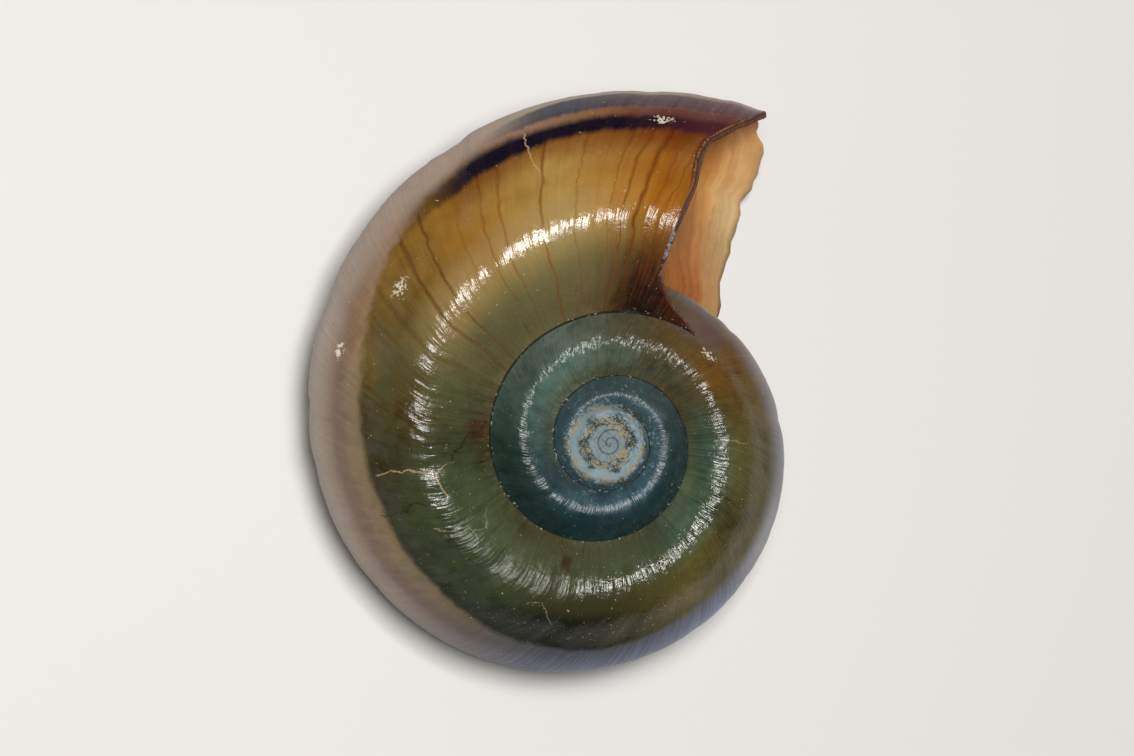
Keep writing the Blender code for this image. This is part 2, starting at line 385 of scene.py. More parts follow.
class ShellNet:
    # the net of the skin and the hollow; each vertex keeps the numbers that the nodes place it by
    def __init__(self, law, net):
        self.law = law
        self.net = net
        self.bm = bmesh.new()
        self.creases = set()
        floats, maps = self.bm.verts.layers.float, self.bm.loops.layers.uv
        names = ("growth", "around", "insetOut", "insetUp", "relief", "hollow")
        self.layers = [floats.new(name) for name in names]
        # turn holds growth and around, lip the way back from the lip and 1 along the sutures
        self.turn, self.lip = [maps.new(name) for name in ("growthNet", "lipNet")]

    def knot(self, growth, around, behind, inset=(0.0, 0.0), relief=1.0, hollow=0.0, seam=0.0):
        vertex = self.bm.verts.new()
        for layer, value in zip(self.layers, (growth, around, *inset, relief, hollow)):
            vertex[layer] = value
        return vertex, growth, around, behind, seam

    def again(self, knot, growth, around, behind, seam=0.0):
        # the same vertex as a part of another whorl
        return knot[0], growth, around, behind, seam

    def face(self, corners):
        unique = []
        for knot in corners:
            if all(knot[0] is not other[0] for other in unique):
                unique.append(knot)
        if len(unique) < 3:
            return
        unique.reverse()
        made = self.bm.faces.new([knot[0] for knot in unique])
        made.smooth = True
        for loop, knot in zip(made.loops, unique):
            loop[self.turn].uv = (knot[1] / 360.0, knot[2] / 360.0)
            loop[self.lip].uv = (knot[3] / 360.0, knot[4])

    def strip(self, left, right):
        # faces between two rows of knots, which may differ in number or share their ends
        i, j, lastLeft, lastRight = 0, 0, len(left) - 1, len(right) - 1
        while i < lastLeft or j < lastRight:
            if lastLeft == lastRight:
                self.face([left[i], left[i + 1], right[j + 1], right[j]])
                i, j = i + 1, j + 1
            elif i < lastLeft and (j == lastRight or (i + 1) * lastRight <= (j + 1) * lastLeft):
                self.face([left[i], left[i + 1], right[j]])
                i += 1
            else:
                self.face([left[i], right[j + 1], right[j]])
                j += 1

    def columnGrowth(self, column):
        return self.net["endGrowth"] - 360.0 / self.net["turnColumns"] * (self.net["columns"] - column)

    def slant(self, column):
        return eased(column, self.net["columns"] - self.net["slantColumns"], self.net["columns"])

    def onAxis(self, growth, drop):
        # a vertex on the coiling axis, given as an inset from the tube's own outline
        radius, height = sectionPoint(self.law, growth, 90.0)
        return self.knot(growth, 90.0, self.net["apexBehind"], (-radius, drop - height))

    def makeSkin(self):
        law, net = self.law, self.net
        turn, count = net["turnColumns"], net["columns"]
        upper, lower = net["upperRows"], net["upperRows"] + net["middleRows"]
        last = lower + net["lowerRows"]
        first = self.columnGrowth(0)
        scale = growthRadius(law, first + 180.0)
        apex = self.onAxis(first, -net["apexDip"] * scale)
        pit = self.onAxis(first, -net["pitDepth"] * scale)
        grid = []
        for column in range(count + 1):
            growth = self.columnGrowth(column)
            rows = rowAngles(law, net, growth)
            share = self.slant(column)
            behind = (count - column) * 360.0 / turn
            line = []
            for row, around in enumerate(rows):
                if upper < row < lower and column + turn < count:
                    line.append(None)       # the next whorl covers it
                elif row in (0, last):
                    if column < turn:
                        seat = apex if row == 0 else pit
                    else:
                        seat = grid[column - turn][upper if row == 0 else lower]
                    line.append(self.again(seat, growth, around, behind, float(column >= turn)))
                else:
                    here = growth + share * lipLead(net, around, rows, share)
                    seam = float(row in (upper, lower) and column + turn <= count)
                    line.append(self.knot(here, around, behind, seam=seam))
                    if seam:
                        self.creases.add(line[-1][0])
            grid.append(line)
        for column in range(count):
            left, right = grid[column], grid[column + 1]
            if column == turn - 1:
                start = [self.again(knot, self.columnGrowth(turn), knot[2], knot[3] - 360.0, 1.0)
                         for knot in grid[0] if knot]
                startUpper, startLower = start[:upper], start[upper + 1:]
                self.strip(left[:upper + 1], startUpper + right[:upper + 1])
                self.strip(left[lower:], right[lower:last] + startLower)
            elif column + turn >= count:
                self.strip(left, right)
            else:
                self.strip(left[:upper + 1], right[:upper + 1])
                self.strip(left[lower:], right[lower:])
        self.grid = grid

    def hollowRing(self, column, closing):
        # growth, around, inset, relief and hollow of each knot in one ring, drawn in as it closes
        law, net = self.law, self.net
        growth = self.columnGrowth(column)
        before = growth - 360.0
        rows = rowAngles(law, net, growth)
        behind = (net["columns"] - column) * 360.0 / net["turnColumns"]
        radius = growthRadius(law, growth)
        wall = net["wall"] * radius - net["lipWall"]
        wall = net["lipWall"] + wall * min(behind / net["lipTaper"], 1.0)
        glaze = net["glaze"] * radius * min(behind / net["glazeTaper"], 1.0)
        share = self.slant(column)
        follow = -max(1.0 - behind / net["lipReach"], 0.0)
        _, seatUpper = placeInSection(law, before, *sectionPoint(law, growth, rows[0]))
        _, seatLower = placeInSection(law, before, *sectionPoint(law, growth, rows[-1]))
        corners = [(growth, row, cornerInset(law, growth, row, before, seat, wall, glaze), 0.0, 1.0)
                   for row, seat in ((rows[0], seatUpper), (rows[-1], seatLower))]
        plan = corners[:1]
        for around in rows[1:-1]:
            here = growth + share * lipLead(net, around, rows, share)
            plan.append((here, around, -sectionNormal(law, here, around) * wall, follow, 1.0))
        plan.append(corners[1])
        for around in spread(seatLower, seatUpper, net["middleRows"])[1:-1]:
            plan.append((before, around, sectionNormal(law, before, around) * glaze, 0.0, 0.0))
        if closing > 0.0:
            points = [Vector(sectionPoint(law, knot[0], knot[1])) + knot[2] for knot in plan]
            middle = sum(points, Vector((0.0, 0.0))) / len(points)
            size = math.sqrt(max(1.0 - closing * closing, 0.0))
            plan = [(knot[0], knot[1], knot[2] + (middle - point) * (1.0 - size), *knot[3:])
                    for knot, point in zip(plan, points)]
        return plan, behind

    def planned(self, knot, behind):
        growth, around, inset, relief, hollow = knot
        return self.knot(growth, around, behind + 360.0 * (1.0 - hollow), inset, relief, hollow)

    def makeHollow(self):
        net, grid = self.net, self.grid
        upper, lower = net["upperRows"], net["upperRows"] + net["middleRows"]
        outside = grid[net["columns"]]
        before = grid[net["columns"] - net["turnColumns"]]
        last = len(outside) - 1
        plan, behind = self.hollowRing(net["columns"], 0.0)
        rim = [outside[0]]
        rim += [self.planned(knot, behind) for knot in plan[1:last]]
        rim.append(outside[last])
        self.strip(outside, rim)
        ring = rim + before[upper + 1:lower][::-1]
        places = list(range(1, net["hollowNear"] + 1))
        places += [net["hollowNear"] + net["hollowStep"] * i for i in range(1, net["hollowFar"] + 1)]
        for index, step in enumerate(places):
            closing = max(index + 1 - (len(places) - net["hollowEnd"]), 0) / (net["hollowEnd"] + 1)
            plan, behind = self.hollowRing(net["columns"] - step, closing)
            fresh = [self.planned(knot, behind) for knot in plan]
            self.strip(ring + ring[:1], fresh + fresh[:1])
            ring = fresh
        middle = Vector((0.0, 0.0))
        for knot in ring:
            middle += Vector(sectionPoint(self.law, knot[1], knot[2]))
            middle += Vector([knot[0][layer] for layer in self.layers[2:4]])
        middle /= len(ring)
        growth = ring[0][1]
        radius, height = sectionPoint(self.law, growth, 90.0)
        end = self.knot(growth, 90.0, behind, (middle.x - radius, middle.y - height), 0.0, 1.0)
        for i, knot in enumerate(ring):
            self.face([knot, ring[(i + 1) % len(ring)], end])

    def toMesh(self, name):
        self.makeSkin()
        self.makeHollow()
        for edge in self.bm.edges:
            edge.smooth = not self.creases.issuperset(edge.verts)
        mesh = bpy.data.meshes.new(name)
        self.bm.to_mesh(mesh)
        self.bm.free()
        return mesh


def lineLead(around):
    # growth lines lead towards the base; degrees of growth
    return 0.14 * (90.0 - around).maths("MAXIMUM", 0.0)


# What the nodes turn the net into: relief on the law's shape, then the pose that the shell rests in
shellForm = {
    "lipFlare": 0.00032,        # the outside stands out a little towards the lip
    "flareStart": 277.0,        # growth angles
    "flareFull": 297.0,
    "haltDepth": 0.00040,       # hollows where growth paused
    "haltSpacing": 0.085,       # how often they come, per degree of growth
    "haltLow": 0.47,            # noise values where a hollow begins and is full
    "haltHigh": 0.75,
    "wrinkleDepth": 0.00010,    # wrinkles on the outside of the whorls
    "wrinkleSpacing": 0.32,
    "wrinkleFade": 35.0,        # angles around the tube between which they fade
    "wrinkleFaint": 75.0,
    "dentDepth": 0.00016,       # broad shallow dents
    "dentScale": 160.0,         # per metre
    "erosionDepth": 0.00012,    # pits in the worn spire
    "erosionScale": 1900.0,
    "erosionFade": -700.0,      # growth angles between which they fade
    "erosionEnd": -560.0,
    "apexWear": 60.0,           # rounds of smoothing on the first whorl's blunt start
    "apexFade": -870.0,         # growth angles between which it fades
    "apexEnd": -800.0,
    "restTilt": 7.31,           # tips the shell onto its base
    "restHeading": 129.0,
    "place": (0.0028300, -0.0051949, 0.0156105),   # the coiling axis at the apex
    "seed": 4.0,
}


def shellTree(law, form, material):
    tree = bpy.data.node_groups.new("growShell", "GeometryNodeTree")
    sockets = tree.interface
    sockets.new_socket("Geometry", in_out="INPUT", socket_type="NodeSocketGeometry")
    sockets.new_socket("Geometry", in_out="OUTPUT", socket_type="NodeSocketGeometry")
    for name, value in {**law, **form}.items():
        kind = "NodeSocketVector" if isinstance(value, tuple) else "NodeSocketFloat"
        sockets.new_socket(name, in_out="INPUT", socket_type=kind)
    bench = Bench(tree)
    entry = tree.nodes.new("NodeGroupInput")
    given = {socket.name: Wire(bench, socket) for socket in entry.outputs if socket.name}

    def kept(name):
        return bench.node("GeometryNodeInputNamedAttribute", {"data_type": "FLOAT"}, {"Name": name})

    growth, around, relief = kept("growth"), kept("around"), kept("relief")
    radius, height = sectionPoint(given, growth, around)
    flare = given["lipFlare"] * eased(growth, given["flareStart"], given["flareFull"])
    flare = flare * cosine(around * degree).maths("MAXIMUM", 0.0)
    x, y, z = toSpace(given, growth, radius + kept("insetOut") + flare, height + kept("insetUp"))
    shaped = bench.node("GeometryNodeSetPosition", {},
                        {"Geometry": given["Geometry"], "Position": bench.join(x, y, z)})
    start = (1.0 - bench.smooth(growth, given["apexFade"], given["apexEnd"])) * (1.0 - kept("hollow"))
    place = bench.node("GeometryNodeInputPosition")
    rubbed = bench.node("GeometryNodeBlurAttribute", {"data_type": "FLOAT_VECTOR"},
                        {"Value": place, "Iterations": given["apexWear"], "Weight": start})
    shaped = bench.node("GeometryNodeSetPosition", {}, {"Geometry": shaped, "Position": rubbed})

    # growth halts are steps along the age of the shell, which leads a little towards the base
    age = growth - lineLead(around)
    ageMap = bench.join(age * given["haltSpacing"], around * 0.004, given["seed"])
    halt = bench.smooth(bench.noise(ageMap, 1.0, 3.0, 0.55), given["haltLow"], given["haltHigh"])
    wrinkleMap = bench.join(age * given["wrinkleSpacing"], around * 0.035, given["seed"] + 7.0)
    wrinkle = bench.noise(wrinkleMap, 1.0, 3.0, 0.6)
    outer = 1.0 - bench.smooth(around, given["wrinkleFade"], given["wrinkleFaint"])
    dent = bench.noise(place, given["dentScale"], 2.0, 0.5)
    worn = 1.0 - bench.smooth(growth, given["erosionFade"], given["erosionEnd"])
    pit = bench.smooth(bench.noise(place, given["erosionScale"], 3.0, 0.6), 0.45, 0.62)
    grown = limited(growthRadius(given, growth) / given["mouthRadius"])
    depth = given["haltDepth"] * halt * grown
    depth = depth + given["wrinkleDepth"] * wrinkle * (0.35 + 0.65 * outer) * grown
    depth = depth + given["dentDepth"] * dent * grown * grown
    depth = depth + given["erosionDepth"] * pit * worn
    normal = bench.node("GeometryNodeInputNormal")
    push = bench.node("ShaderNodeVectorMath", {"operation": "SCALE"},
                      {"Vector": normal, "Scale": -1.0 * depth * relief})
    raised = bench.node("GeometryNodeSetPosition", {}, {"Geometry": shaped, "Offset": push})

    heading = given["restHeading"] * -degree
    axis = bench.join(-1.0 * sine(heading), cosine(heading), 0.0)
    tipped = bench.node("ShaderNodeVectorRotate", {"rotation_type": "AXIS_ANGLE"},
                        {"Vector": place, "Axis": axis, "Angle": given["restTilt"] * degree})
    moved = bench.node("ShaderNodeVectorMath", {"operation": "ADD"}, {0: tipped, 1: given["place"]})
    x, y, z = bench.split(moved)
    laid = bench.node("GeometryNodeSetPosition", {},
                      {"Geometry": raised, "Position": bench.join(x, y, z.maths("MAXIMUM", 0.0))})
    real = bench.node("GeometryNodeRealizeInstances", {}, {"Geometry": laid})
    done = bench.node("GeometryNodeSetMaterial", {}, {"Geometry": real, "Material": material})
    leave = tree.nodes.new("NodeGroupOutput")
    tree.links.new(done.socket, leave.inputs[0])
    return tree


def growShell(name, law, net, form, material):
    mesh = ShellNet(law, net).toMesh(name + "Net")
    netObject = linked(name + "Net", mesh)
    tree = shellTree(law, form, material)
    modifier = netObject.modifiers.new("grow", "NODES")
    modifier.node_group = tree
    values = {**law, **form}
    for item in tree.interface.items_tree:
        if item.in_out == "INPUT" and item.name in values:
            modifier[item.identifier] = values[item.name]
    graph = bpy.context.evaluated_depsgraph_get()
    ready = netObject.evaluated_get(graph)
    grown = bpy.data.meshes.new_from_object(ready, preserve_all_data_layers=True, depsgraph=graph)
    grown.name = name
    bpy.data.objects.remove(netObject, do_unlink=True)
    return linked(name, grown)


# Colours are linear; growth and around are in degrees, places seen from above in millimetres.
shellPaint = {
    "tints": (                  # colour of the skin against growth; towards the lip the amber is also brightened as painted glow of light shining through the thin shell
        (-800.0, (0.075, 0.115, 0.130)), (-560.0, (0.028, 0.056, 0.066)),
        (-400.0, (0.036, 0.054, 0.052)), (-330.0, (0.016, 0.034, 0.036)),
        (-250.0, (0.008, 0.024, 0.027)), (-175.0, (0.016, 0.032, 0.024)),
        (-120.0, (0.066, 0.092, 0.074)), (-75.0, (0.060, 0.050, 0.022)),
        (-30.0, (0.104, 0.048, 0.008)), (0.0, (0.064, 0.058, 0.018)),
        (30.0, (0.068, 0.058, 0.018)), (62.0, (0.080, 0.066, 0.014)),
        (92.0, (0.005, 0.005, 0.001)), (125.0, (0.006, 0.010, 0.003)),
        (150.0, (0.018, 0.021, 0.007)), (180.0, (0.040, 0.033, 0.009)),
        (210.0, (0.108, 0.068, 0.016)), (238.0, (0.262, 0.125, 0.016)),
        (258.0, (0.350, 0.213, 0.050)), (280.0, (0.285, 0.105, 0.008)),
        (306.0, (0.180, 0.065, 0.016)),
    ),
    "innerTints": (             # the same near the suture; lighter and bluer on the older whorls and near growth 250 as painted sheen of the highlight's haze
        (-800.0, (0.080, 0.120, 0.135)), (-560.0, (0.030, 0.056, 0.062)),
        (-400.0, (0.036, 0.054, 0.050)), (-300.0, (0.034, 0.066, 0.074)),
        (-210.0, (0.024, 0.040, 0.038)), (-120.0, (0.080, 0.094, 0.060)),
        (-30.0, (0.058, 0.044, 0.016)), (0.0, (0.054, 0.068, 0.040)),
        (30.0, (0.060, 0.078, 0.042)), (60.0, (0.044, 0.058, 0.036)),
        (90.0, (0.046, 0.056, 0.030)), (120.0, (0.056, 0.056, 0.024)),
        (150.0, (0.056, 0.058, 0.020)), (180.0, (0.030, 0.027, 0.009)),
        (210.0, (0.088, 0.072, 0.022)), (240.0, (0.104, 0.090, 0.030)),
        (260.0, (0.128, 0.096, 0.032)), (280.0, (0.050, 0.018, 0.004)),
        (306.0, (0.040, 0.012, 0.005)),
    ),
    "lateLines": (              # growth, half width and strength of the brown lines by the lip
        (268.4, 0.45, 0.50), (271.8, 0.55, 0.75), (275.5, 0.75, 1.00),
        (279.0, 0.45, 0.45), (282.0, 0.50, 0.55), (285.0, 0.45, 0.40),
        (288.5, 0.50, 0.35), (292.0, 0.45, 0.40), (296.0, 0.45, 0.35),
    ),
    "growthLines": (            # the same further back
        (188.0, 0.6, 0.30), (207.0, 1.2, 0.45), (217.0, 0.8, 0.80),
        (222.6, 0.6, 0.85), (231.0, 0.4, 0.30), (237.0, 0.5, 0.50),
        (241.5, 0.6, 0.60), (251.5, 0.6, 0.80), (260.0, 0.4, 0.50),
    ),
    "oldBrown": (0.090, 0.034, 0.004),
    "lineBrown": (0.165, 0.050, 0.003),
    "lateBrown": (0.100, 0.024, 0.005),
    "crestDark": (0.050, 0.046, 0.016),
    # painted sheen by the crest, outside and inside it
    "crestPale": (0.300, 0.230, 0.110),
    "innerPale": (0.120, 0.108, 0.055),
    "green": (0.042, 0.060, 0.028),
    "blueFactors": (1.03, 1.28, 1.50),      # factors on the skin's own colour: near the suture
    "glowFactors": (0.80, 0.52, 0.30),      # between the late lines
    "duskFactors": (0.56, 0.40, 0.30),      # beside the dark bands
    "stains": (                 # colour, how the places join; growth, around, both sizes and strength
        ((0.008, 0.004, 0.004), "MAXIMUM",
         ((284.0, 140.0, 15.0, 34.0, 0.95), (268.0, 150.0, 16.0, 14.0, 0.665))),
        ((0.060, 0.022, 0.008), "ADD",
         ((188.0, 138.0, 20.0, 32.0, 0.75), (216.0, 148.0, 14.0, 18.0, 0.5))),
        ((0.030, 0.012, 0.006), "ADD", ((109.0, 109.0, 4.0, 9.0, 0.8),)),
        ((0.030, 0.018, 0.010), "ADD", ((-62.0, 105.0, 14.0, 18.0, 0.6),)),
        ((0.130, 0.085, 0.090), "ADD", ((-50.0, 40.0, 18.0, 34.0, 0.5),)),
    ),
    "bandDark": (0.004, 0.002, 0.008),
    "bandRed": (0.055, 0.010, 0.014),
    "bandBlue": (0.020, 0.028, 0.050),
    "bandPlum": (0.075, 0.030, 0.044),
    "gapPale": (0.245, 0.150, 0.112),       # between the two bands
    "gapLate": (0.165, 0.075, 0.050),
    "gapFilled": (0.085, 0.026, 0.030),
    "veil": (                   # dull pale skin on the outside, with painted reflection at the rim, against the angle around the tube
        (-60.0, (0.260, 0.215, 0.170)), (-5.0, (0.370, 0.305, 0.260)),
        (10.0, (0.390, 0.320, 0.270)), (18.0, (0.300, 0.240, 0.195)),
        (27.0, (0.200, 0.140, 0.108)), (34.0, (0.200, 0.142, 0.095)),
        (42.0, (0.200, 0.148, 0.082)), (55.0, (0.175, 0.125, 0.060)),
    ),
    "coolVeilAndSheen": (               # the same on the near half of the last whorl, also painted reflection
        (-60.0, (0.200, 0.195, 0.205)), (6.0, (0.215, 0.213, 0.235)),
        (18.0, (0.138, 0.136, 0.153)), (30.0, (0.092, 0.088, 0.088)),
        (45.0, (0.062, 0.058, 0.040)),
    ),
    "veilAndSheenEdge": (               # growth against the angle where the veil and its painted reflection begin
        (-60.0, 34.0), (0.0, 41.0), (45.0, 40.0), (66.0, 39.0), (90.0, 36.0), (117.0, 41.0),
        (133.0, 48.0), (164.0, 51.5), (192.0, 47.5), (210.0, 40.0), (220.0, 34.0), (232.0, 29.0),
        (248.0, 25.0), (262.0, 18.0), (276.0, 11.0), (306.0, 6.0),
    ),
    "veilWarm": (0.270, 0.145, 0.060),
    "veilPale": (0.330, 0.235, 0.165),
    "lilacFactors": (0.78, 0.94, 1.26),
    "apex": (3.1, -5.2),        # the middle of the worn spire, seen from above
    "chalk": (0.190, 0.260, 0.290),
    "nucleus": (0.145, 0.180, 0.200),
    "groove": (0.020, 0.028, 0.030),
    "ochre": (0.250, 0.200, 0.110),
    "moss": (0.020, 0.024, 0.010),
    "seam": (0.004, 0.004, 0.004),
    "gilt": (0.300, 0.220, 0.080),
    "crust": (0.600, 0.540, 0.430),
    "crustPatches": (           # growth, around and the size in both
        (217.5, 51.5, 5.0, 9.0), (199.5, 25.5, 3.5, 5.0),
        (281.0, 29.5, 3.5, 5.0), (-40.0, 65.0, 8.0, 10.0),
    ),
    "marks": (                  # pale and dark cracks, scratches: colour, strength, lines of a width
        ((0.420, 0.300, 0.170), 0.6, (
            (0.11, ((-14.8, -7.2), (-11.9, -7.1), (-10.6, -7.7), (-9.4, -6.3))),
            (0.09, ((-10.6, -7.7), (-10.1, -8.6), (-9.6, -9.2))),
            (0.09, ((-3.0, 19.2), (-2.75, 17.5), (-2.4, 15.9))),
        )),
        ((0.018, 0.012, 0.006), 0.7, (
            (0.10, ((-14.0, -10.6), (-12.6, -9.8), (-10.4, -9.5))),
            (0.13, ((-6.2, -3.4), (-7.8, -4.2), (-9.1, -5.5), (-9.8, -7.0))),
        )),
        ((0.280, 0.220, 0.120), 0.5, (
            (0.045, ((-3.3, -17.5), (-2.2, -17.4), (-1.7, -18.5), (-1.2, -19.1))),
            (0.045, ((-6.5, -10.0), (-6.4, -11.2), (-8.2, -11.8), (-10.6, -11.6))),
            (0.055, ((12.1, -5.1), (14.1, -5.2))),
        )),
    ),
    "inside": (                 # the smooth inside, against the angle around the tube; brightened as painted light, as if lit through the thin wall where the roof shades it
        (-180.0, (0.280, 0.110, 0.038)), (-112.0, (0.320, 0.150, 0.055)),
        (-96.0, (0.340, 0.180, 0.070)), (-84.0, (0.390, 0.225, 0.095)),
        (-70.0, (0.520, 0.330, 0.150)), (-55.0, (0.600, 0.365, 0.150)),
        (-38.0, (0.660, 0.370, 0.140)), (-24.0, (0.640, 0.280, 0.085)),
        (2.0, (0.420, 0.120, 0.034)), (60.0, (0.400, 0.150, 0.042)),
        (180.0, (0.380, 0.150, 0.042)),
    ),
    "tanFactors": (0.88, 0.66, 0.46),
    "deepFactors": (0.90, 0.68, 0.42),
    "creamFactors": (1.22, 1.55, 1.75),
    # painted shade deep in the hollow
    "insideDark": (0.120, 0.060, 0.022),
    "lipEdge": (0.055, 0.016, 0.010),
    "lipRim": (0.210, 0.095, 0.038),
    "rimDark": (0.100, 0.038, 0.018),
    "rimLime": (0.330, 0.290, 0.260),
    # painted highlight: a pale far rim, though its thin edge faces away from the lamp
    "rimFar": (0.620, 0.420, 0.230),
    "lime": (0.290, 0.250, 0.230),
    "broadScale": 0.24,         # noises, per millimetre
    "mottleScale": 0.9,
    "grainScale": 3.5,
    "pimpleScale": 2.3,
    "pimpleDepth": 0.000050,    # fine relief, in metres
    "ridgeDepth": 0.000060,
    "swellDepth": 0.000230,
    "chalkDepth": 0.000120,
    "roughness": 0.23,
    "ior": 1.37,
}


class SkinBench(Bench):
    # what the layers of the skin share: places on the shell, noises, and masks made from them
    def __init__(self, tree, paint):
        super().__init__(tree)
        self.paint = paint
        turns, tubeTurns, _ = self.split(self.node("ShaderNodeUVMap", {"uv_map": "growthNet"}))
        behindTurns, self.seam, _ = self.split(self.node("ShaderNodeUVMap", {"uv_map": "lipNet"}))
        self.growth, self.around, self.behind = turns * 360.0, tubeTurns * 360.0, behindTurns * 360.0
        self.hollow = self.node("ShaderNodeAttribute", {"attribute_name": "hollow"}, {}, "Fac")
        self.age = self.growth - lineLead(self.around)
        self.calm = 1.0 - self.smooth(-self.growth, 500.0, 760.0)   # 0 on the worn spire
        where = self.node("ShaderNodeTexCoord", {}, {}, "Object")
        self.x, self.y, self.z = [axis * 1000.0 for axis in self.split(where)]
        self.millimetres = self.join(self.x, self.y, self.z)
        self.broad = self.noise(self.millimetres, paint["broadScale"], 3.0, 0.55)
        self.mottle = self.noise(self.millimetres, paint["mottleScale"], 3.0, 0.6)
        self.grain = self.noise(self.millimetres, paint["grainScale"], 3.0, 0.6)
        self.wave = (self.streak(self.age * 0.05, 0.05, 2.0) - 0.5) * 3.0
        self.streaks = self.streak(self.age * 1.1 + self.wave * 0.25, 0.014, 3.0, 0.65)
        self.fineStreaks = self.streak(self.age * 2.6 + self.wave * 0.6, 0.030, 2.0, 0.6)
        self.mottled, self.grained = self.mottle - 0.5, self.grain - 0.5
        self.streaked = self.streaks - 0.5

    def between(self, mask, first, second):
        # a blend of two colours, either of them by its name in paint
        pair = [self.paint[colour] if isinstance(colour, str) else colour for colour in (first, second)]
        return self.blend(mask, *pair)

    def lay(self, mask, colour):
        # puts a colour over the tint so far; wash and shade multiply it
        self.tint = self.between(mask, self.tint, colour)

    def wash(self, mask, factors):
        self.lay(mask, self.tinted(self.tint, self.paint[factors]))

    def shade(self, strength):
        self.tint = self.shaded(self.tint, strength)

    def streak(self, across, pace, detail, roughness=0.5):
        # noise drawn out around the tube, where pace is small
        flat = self.join(across, self.around * pace)
        return self.noise(flat, 1.0, detail, roughness, "2D")

    def patch(self, growthAt, aroundAt, growthSize, aroundSize, ragged=0.0):
        # 1 at a place on the skin, fading to 0 over a size in growth and around the tube
        ahead, across = (self.growth - growthAt) / growthSize, (self.around - aroundAt) / aroundSize
        return 1.0 - self.smooth((ahead ** 2.0 + across ** 2.0).maths("SQRT") + ragged, 0.15, 1.0)

    def nearLine(self, width, points):
        # 1 on a thin crooked line through points seen from above, 0 beyond its width
        px, py = self.x + self.mottled * 1.3, self.y - self.mottled * 1.3
        found = []
        for (ax, ay), (bx, by) in zip(points, points[1:]):
            length = math.hypot(bx - ax, by - ay)
            ux, uy = (bx - ax) / length, (by - ay) / length
            run = ((px - ax) * ux + (py - ay) * uy).maths("MAXIMUM", 0.0).maths("MINIMUM", length)
            offX, offY = px - ax - run * ux, py - ay - run * uy
            found.append((offX * offX + offY * offY).maths("SQRT"))
        line = 1.0 - self.smooth(joined("MINIMUM", found), width * 0.4, width)
        return line * self.smooth(self.z, 8.0, 10.0)


def skinTint(skin):
    # the skin's own colour, greener or paler in places, with a painted sheen by the crest near growth
    # 238
    growth, around, mottled, paint = skin.growth, skin.around, skin.mottled, skin.paint
    smooth, blend, band = skin.smooth, skin.blend, skin.band
    shifted = growth + skin.wave * 2.0
    skin.tint = blend(smooth(around + mottled * 16.0, 80.0, 112.0),
                      skin.along(shifted, paint["tints"]), skin.along(shifted, paint["innerTints"]))
    uneven = (skin.broad - 0.5) * 1.6 + mottled * 0.9 + skin.streaked * 0.9 * skin.calm
    skin.shade(1.0 + uneven * (1.0 - 0.70 * smooth(growth, 205.0, 238.0)))
    bluer = band(around, 100.0, 6.0, 14.0) * (1.0 - 0.6 * band(growth, 238.0, 25.0, 18.0))
    skin.wash(bluer, "blueFactors")
    skin.shade(1.0 - 0.24 * band(growth, 5.0, 45.0, 30.0) * band(around, 102.0, 9.0, 9.0))
    crest = smooth(around, 66.0, 80.0) * band(growth, 98.0, 24.0, 28.0)
    skin.lay(crest * 0.55, "crestDark")
    # painted sheen: a paler band by the crest, where the broad highlight lies
    paintedSheen = smooth(around, 64.0, 80.0) * band(growth, 238.0, 20.0, 22.0)
    skin.lay(paintedSheen * 0.35, skin.between(smooth(around, 88.0, 106.0), "crestPale", "innerPale"))
    green = smooth(skin.broad + mottled * 0.25, 0.38, 0.66) * band(growth, 165.0, 30.0, 28.0)
    skin.lay(green * 0.55 * smooth(around, 52.0, 62.0), "green")


def linesOver(skin):
    # brown lines where growth paused, and the crowded ones behind the lip
    growth, around, age, smooth = skin.growth, skin.around, skin.age, skin.smooth
    crooked = age + skin.wave * 0.5 + skin.mottled * 1.6

    def ruled(name):
        marks = skin.paint[name]
        stops = [(marks[0][0] - marks[0][1] - 1.0, 0.0)]
        for at, half, strength in marks:
            stops += [(at - half, 0.0), (at, strength), (at + half, 0.0)]
        return skin.split(skin.along(crooked, stops))[0]

    near = smooth(around, 75.0, 125.0)
    late = smooth(age, 252.0, 285.0)
    lines = most(ruled("growthLines"), ruled("lateLines"))
    lines = lines * (0.45 + 1.2 * skin.mottle) * smooth(around, 14.0, 34.0)
    lines = lines * (1.0 - 0.45 * near * (1.0 - smooth(growth, 236.0, 262.0)))
    glow = smooth(skin.streak(crooked * 0.45, 0.010, 2.0, 0.6), 0.46, 0.66)
    skin.wash(glow * late * 0.5, "glowFactors")
    fineLines = smooth(skin.streaks, 0.55, 0.63) * late
    brown = skin.between(smooth(age, 222.0, 248.0), "oldBrown", "lineBrown")
    brown = skin.between(smooth(age, 262.0, 282.0) * (0.3 + 0.7 * near), brown, "lateBrown")
    skin.lay(most(lines, fineLines * (0.18 + 0.50 * near)), brown)


def stainsOver(skin):
    # stains with ragged edges, most of them by the suture
    ragged = skin.mottled + skin.streaked * 0.7
    for colour, operation, places in skin.paint["stains"]:
        masks = [skin.patch(*place, ragged) * strength for *place, strength in places]
        skin.lay(joined(operation, masks), colour)


